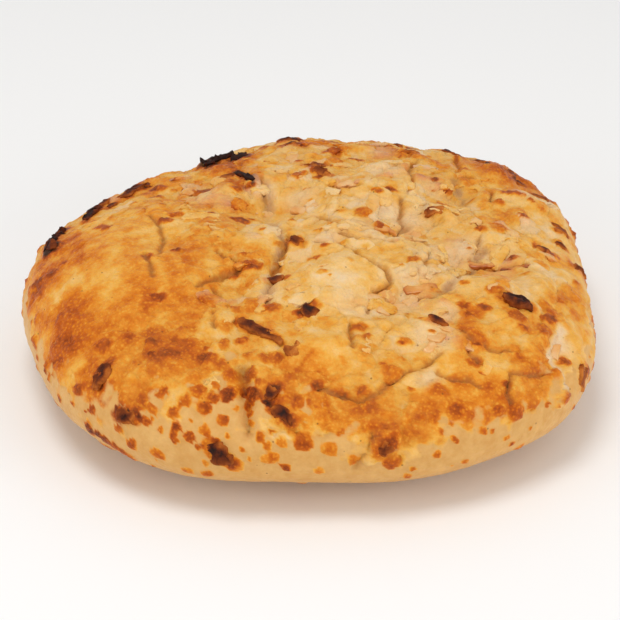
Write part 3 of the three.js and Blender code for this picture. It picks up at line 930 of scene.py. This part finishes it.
def lay_block(bm, block, surface, spot, size, seed, proud, bend, rough, lean=0.0, lumpy=0.35):
    """Adds a block of that size, bent along the surface at a spot and standing proud of it.

    Rough is how far its outline strays from true, and lumpy is the share of that by which its top does.
    Gives its vertices with their places on the unit block.
    """
    length, width, thickness = size
    stations = lay_stations(surface, spot, length, width, bend)
    middle, normal, along = spot
    across = normal.cross(along)
    last = len(stations) - 1
    start = len(bm.verts)
    bm.from_mesh(block)
    bm.verts.ensure_lookup_table()
    laid = []
    for v in bm.verts[start:]:
        place = v.co.copy()
        local = Vector((place.x * length, place.y * width, place.z * thickness))
        push = rough * (noise.noise_vector(local / 3.2 + seed) + 0.6 * noise.noise_vector(local / 1.3 - seed))
        at = (place.x + 0.5) * last
        i = min(last - 1, int(at))
        base = stations[i].lerp(stations[i + 1], at - i)
        rise = local.z + proud - thickness / 2 + lumpy * push.z + lean * local.y
        v.co = base + along * push.x + across * (local.y + push.y) + normal * rise
        laid.append((v, place))
    return laid


def make_charred_onion(skin, surface):
    """Shreds of onion, wrinkled and shrunk by the heat, half sunk in the crust."""
    bm = bmesh.new()
    char_layer = bm.verts.layers.float.new("char")
    block = rounded_block(4.0)
    for number, (bearing, rise, length, width, turn, char) in enumerate(LARGE_SHREDS + BURNT_FLAKES):
        spot = shred_spot(skin, bearing, rise, turn)
        burnt = float(smoothstep(0.65, 0.95, char))
        size = (length, width, min(SHRED_THICKNESS * (1 + 0.5 * burnt), 0.9 * width))
        seed = Vector((number * 7.3, 0, 0))
        proud, bend = SHRED_PROUD + 0.4 * burnt, 0.05 * stray(number, 6)
        rough, lumpy = min(1.5, 0.36 * width), 0.35 + 0.75 * burnt
        for v, place in lay_block(bm, block, surface, spot, size, seed, proud, bend, rough, lumpy=lumpy):
            rim = 2 * max(abs(place.x), abs(place.y))
            fade = (0.85 - 0.65 * burnt) * rim**3
            v[char_layer] = char * (1.2 - fade) + 0.3 * place.x * stray(number, 5)
    finish_piece(bm, "charred_onion", charred_onion())


def painted_contact_shade(place):
    """How much painted shade a place on a unit block gets, low down where the block meets the crust."""
    return 0.7 * (1 - smoothstep(-0.35, 0.15, place.z))


def finish_coated(bm, name, tones, wetness, painted_shade, patches, marks, finish):
    """Coats onion with cheese as toasted as what it lies on, give or take its tone; toast dries it."""
    toast, marked = toasted(np.array([v.co for v in bm.verts]), patches, marks)
    dried = np.maximum(marked, smoothstep(*DRY_TOAST, toast))
    keep_finish(bm, browned(toast + tones), np.ones(len(toast)), wetness * (1 - dried), painted_shade)
    finish_piece(bm, name, finish)


def make_pale_onion(skin, surface, patches, marks, finish):
    """Onion chips sunk in the cheese and thinly coated by it."""
    bm = bmesh.new()
    block = rounded_block(4.0)
    painted_shade = []
    for number, (bearing, rise, length, width, turn) in enumerate(small_shreds()):
        spot = shred_spot(skin, bearing, rise, turn)
        size = (length, width, CHIP_THICKNESS)
        seed = Vector((number * 5.1, 9, 0))
        bend, lean = 0.15 * stray(number, 7), 0.15 * stray(number, 8)
        laid = lay_block(bm, block, surface, spot, size, seed, 0.0, bend, CHIP_ROUGH, lean, CHIP_LUMPY)
        # Painted shade low down where the chip meets the crust.
        painted_shade += [painted_contact_shade(place) for v, place in laid]
    finish_coated(bm, "pale_onion", CHIP_TONE, CHIP_WETNESS, painted_shade, patches, marks, finish)


def make_onion_strips(surface):
    """Strips and chunks of onion caught in the cheese, browned along their edges."""
    bm = bmesh.new()
    edge_layer = bm.verts.layers.float.new("edge")
    block = rounded_block(3.6)
    for number, (u, v, length, width, turn, brown) in enumerate(ONION_STRIPS):
        middle, normal = seen_at(surface, u, v)
        normal = (normal + Vector((0, 0, 3))).normalized()
        spot = (middle, normal, lie_along(-90, normal, turn))
        size = (length, width, STRIP_THICKNESS)
        seed = Vector((number * 3.7, 5, 0))
        bend = 0.15 * stray(number, 3)
        for vertex, place in lay_block(bm, block, surface, spot, size, seed, STRIP_PROUD, bend, STRIP_ROUGH):
            vertex[edge_layer] = brown * (0.6 + 0.9 * abs(place.y) + 0.5 * abs(place.x))
    finish_piece(bm, "onion_strips", soft_onion())


def make_onion_slabs(skin, surface, patches, marks, finish):
    """Slabs of onion under the melted cheese, each a little paler or browner than what it lies on."""
    bm = bmesh.new()
    block = rounded_block(3.4)
    draw = random.Random(SLAB_SEED)
    tones, moist, painted_shade = [], [], []
    for number, place in enumerate(slab_places()):
        middle, normal = on_top(skin, place.x, place.y)
        spot = (middle, normal, lie_along(0, normal, draw.uniform(0, 180)))
        size = (draw.uniform(*SLAB_LENGTH), draw.uniform(*SLAB_WIDTH), SLAB_THICKNESS)
        proud, bend, lean = [draw.uniform(*span) for span in (SLAB_PROUD, SLAB_BEND, SLAB_LEAN)]
        tone, browning, wet = [draw.uniform(*span) for span in (SLAB_TONE, SLAB_BROWNING, SLAB_WETNESS)]
        if normal.z < SLAB_LEVEL:
            continue
        seed = Vector((number * 4.3, 3, 7))
        for v, at in lay_block(bm, block, surface, spot, size, seed, proud, bend, SLAB_ROUGH, lean):
            tones.append(tone + max(0.0, browning) * float(smoothstep(0.15, 0.45, at.x)))
            moist.append(max(0.0, wet))
            # Painted shade low down where the slab meets the crust.
            painted_shade.append(painted_contact_shade(at))
    finish_coated(bm, "onion_slabs", np.array(tones), np.array(moist), painted_shade, patches, marks, finish)


# Finishes.


def add_node(tree, kind, inputs=(), **settings):
    """Adds a shader node; inputs gives each socket a value or the socket that feeds it."""
    made = tree.nodes.new("ShaderNode" + kind)
    for name, value in settings.items():
        setattr(made, name, value)
    for name, value in dict(inputs).items():
        if isinstance(value, bpy.types.NodeSocket):
            tree.links.new(value, made.inputs[name])
        else:
            made.inputs[name].default_value = value
    return made


def new_material(name):
    """An empty material, its tree, and the coordinates on the object that wears it."""
    made = bpy.data.materials.new(name)
    made.use_nodes = True
    made.node_tree.nodes.clear()
    return made, made.node_tree, add_node(made.node_tree, "TexCoord").outputs["Object"]


def kept_value(tree, name):
    """What each vertex keeps by that name."""
    return add_node(tree, "Attribute", attribute_name=name).outputs["Fac"]


def maths(tree, operation, *values):
    """One step of arithmetic on sockets and numbers."""
    return add_node(tree, "Math", dict(enumerate(values)), operation=operation).outputs[0]


def mapped(tree, value, source, target):
    """A value moved from one range to another and held at its ends."""
    ends = {"From Min": source[0], "From Max": source[1], "To Min": target[0], "To Max": target[1]}
    return add_node(tree, "MapRange", {"Value": value, **ends}).outputs[0]


def cloudy(tree, coords, size, detail, roughness=0.5):
    """Noise about 0.5, with lumps of about that size in millimetres."""
    inputs = {"Vector": coords, "Scale": 1 / (size * MM), "Detail": detail, "Roughness": roughness}
    return add_node(tree, "TexNoise", inputs).outputs["Fac"]


def cells(tree, coords, size, feature):
    """How far a point is from the middle of its cell, for cells of about that size in millimetres."""
    inputs = {"Vector": coords, "Scale": 1 / (size * MM)}
    return add_node(tree, "TexVoronoi", inputs, feature=feature).outputs["Distance"]


def ramp(tree, share, stops):
    """The colour at a share of the way along stops, each a place from 0 to 1 and an sRGB hex value."""
    made = add_node(tree, "ValToRGB", {"Fac": share})
    elements = made.color_ramp.elements
    while len(elements) < len(stops):
        elements.new(1.0)
    for element, (place, colour) in zip(elements, stops):
        element.position = place
        element.color = linear(colour)
    return made.outputs[0]


def laid_over(tree, share, below, above):
    """One colour laid over another by a share."""
    return add_node(tree, "Mix", {0: share, 6: below, 7: above}, data_type="RGBA").outputs[2]


def bumped(tree, height, strength, depth, invert=False, **under):
    """The normal over bumps of a depth in millimetres."""
    inputs = {"Height": height, "Strength": strength, "Distance": depth * MM, **under}
    return add_node(tree, "Bump", inputs, invert=invert).outputs[0]


def end_in_shader(tree, inputs):
    shader = add_node(tree, "BsdfPrincipled", inputs)
    add_node(tree, "OutputMaterial", {"Surface": shader.outputs[0]})


def baked_crust():
    """Wheat dough under melted cheese: cream and gold, toasted orange to brown, pale on the wall."""
    material, tree, coords = new_material("baked_cheese_crust")
    toast, cheese, moist, painted_shade = [kept_value(tree, name) for name in FINISH_NAMES]
    height = add_node(tree, "SeparateXYZ", {0: coords}).outputs["Z"]
    fine = cloudy(tree, coords, 4.2, 4.0, 0.62)
    mottle = maths(tree, "SUBTRACT", fine, 0.5)
    bubbles = cells(tree, coords, 1.15, "SMOOTH_F1")
    specks = cells(tree, coords, 6.0, "F1")

    # How toasted the cheese is, from cream at 0 to black at 1; bubbles show where it is toasted.
    grainy = mapped(tree, toast, (0.36, 0.56), (0.03, 0.26))
    between = maths(tree, "MULTIPLY", mapped(tree, bubbles, (0.10, 0.42), (-0.35, 0.14)), grainy)
    level = maths(tree, "ADD", maths(tree, "MULTIPLY_ADD", mottle, 0.50, toast), between)
    melted = ramp(tree, level, [
        (0.0, "E6C698"), (0.12, "ECC488"), (0.24, "EAB868"), (0.36, "E6A642"), (0.46, "DF8C26"),
        (0.56, "D17414"), (0.66, "BB590E"), (0.76, "97420C"), (0.88, "60280A"), (1.0, "30160C"),
    ])
    damp = ramp(tree, fine, [(0.35, "DAB286"), (0.65, "EED2AC")])
    # Painted shade: a darker brown laid over the topping in creases, in low places and where onion meets the
    # crust.
    shade = ramp(tree, fine, [(0.3, "A0622A"), (0.7, "BA7E40")])
    topping = laid_over(tree, mapped(tree, moist, (0.1, 1.0), (0.0, 0.75)), melted, damp)
    topping = laid_over(tree, mapped(tree, painted_shade, (0.15, 1.0), (0.0, 0.75)), topping, shade)

    # Dough, browned by the tray underneath, then cheese and a few dark specks over it.
    dough = ramp(tree, fine, [(0.3, "CF9953"), (0.7, "DCAC69")])
    browned_by_tray = ramp(tree, fine, [(0.3, "B06E2C"), (0.7, "D0924A")])
    tray_edge = maths(tree, "MULTIPLY_ADD", mottle, 4 * MM, height)
    on_tray = mapped(tree, tray_edge, (2.5 * MM, 0.8 * MM), (0.0, 1.0))
    ragged = maths(tree, "MULTIPLY_ADD", mottle, 0.7, cheese)
    covered = mapped(tree, ragged, (-0.16, 0.20), (0.0, 1.0))
    speckled = mapped(tree, specks, (0.04, 0.065), (0.6, 0.0))
    colour = laid_over(tree, on_tray, dough, browned_by_tray)
    colour = laid_over(tree, covered, colour, topping)
    colour = laid_over(tree, speckled, colour, linear("6E4218"))

    bubbled = bumped(tree, bubbles, 0.4, 0.5, invert=True)
    crusty = mapped(tree, covered, (0.0, 1.0), (0.25, 0.9))
    end_in_shader(tree, {
        "Base Color": colour,
        "Roughness": mapped(tree, moist, (0.1, 1.0), (0.42, 0.28)),
        "Normal": bumped(tree, cloudy(tree, coords, 0.9, 4.0), crusty, 0.5, Normal=bubbled),
        "IOR": 1.45,
        "Specular IOR Level": 0.12,
        "Sheen Weight": 0.04,
        "Sheen Roughness": 0.5,
        "Subsurface Weight": 0.12,
        "Subsurface Radius": (1.0, 0.5, 0.25),
        "Subsurface Scale": 1.2 * MM,
    })
    return material


def charred_onion():
    """Onion dried and burnt: red brown to black, and dull."""
    material, tree, coords = new_material("charred_onion")
    fine = cloudy(tree, coords, 2.4, 3.0, 0.6)
    level = maths(tree, "MULTIPLY_ADD", maths(tree, "SUBTRACT", fine, 0.5), 0.9, kept_value(tree, "char"))
    end_in_shader(tree, {
        "Base Color": ramp(tree, level, [
            (0.0, "C8782E"), (0.3, "A8581A"), (0.55, "803A0C"),
            (0.75, "622808"), (0.9, "42190A"), (1.0, "2C160E"),
        ]),
        "Roughness": 0.65,
        "Specular IOR Level": 0.15,
        "Normal": bumped(tree, fine, 0.8, 0.6),
    })
    return material


def soft_onion():
    """Softened onion: creamy gold, a little see-through, brown along dried edges."""
    material, tree, coords = new_material("soft_onion")
    mottle = maths(tree, "SUBTRACT", cloudy(tree, coords, 4.0, 3.0), 0.25)
    level = maths(tree, "MULTIPLY_ADD", kept_value(tree, "edge"), 0.8, mottle)
    end_in_shader(tree, {
        "Base Color": ramp(tree, level, [
            (0.1, "E4B67C"), (0.3, "E2AA66"), (0.5, "DA9442"), (0.75, "B8621E"), (1.0, "742C0E"),
        ]),
        "Roughness": 0.35,
        "Normal": bumped(tree, cloudy(tree, coords, 1.1, 2.0), 0.3, 0.3),
        "Subsurface Weight": 0.2,
        "Subsurface Radius": (1.0, 0.7, 0.5),
        "Subsurface Scale": 1.5 * MM,
    })
    return material


def studio_sweep():
    """A matt studio sweep, nearly white."""
    material, tree, coords = new_material("studio_sweep")
    colour = ramp(tree, cloudy(tree, coords, 500.0, 2.0), [(0.0, "F6F5F3"), (1.0, "F9F8F7")])
    end_in_shader(tree, {"Base Color": colour, "Roughness": 0.9})
    return material


noise.seed_set(NOISE_SEED)
make_stage()
loaf_skin = solid_skin()
crust = (lay_patches(loaf_skin), lay_marks(loaf_skin), baked_crust())
loaf_surface = make_loaf(loaf_skin, *crust)
make_onion_slabs(loaf_skin, loaf_surface, *crust)
make_charred_onion(loaf_skin, loaf_surface)
make_pale_onion(loaf_skin, loaf_surface, *crust)
make_onion_strips(loaf_surface)
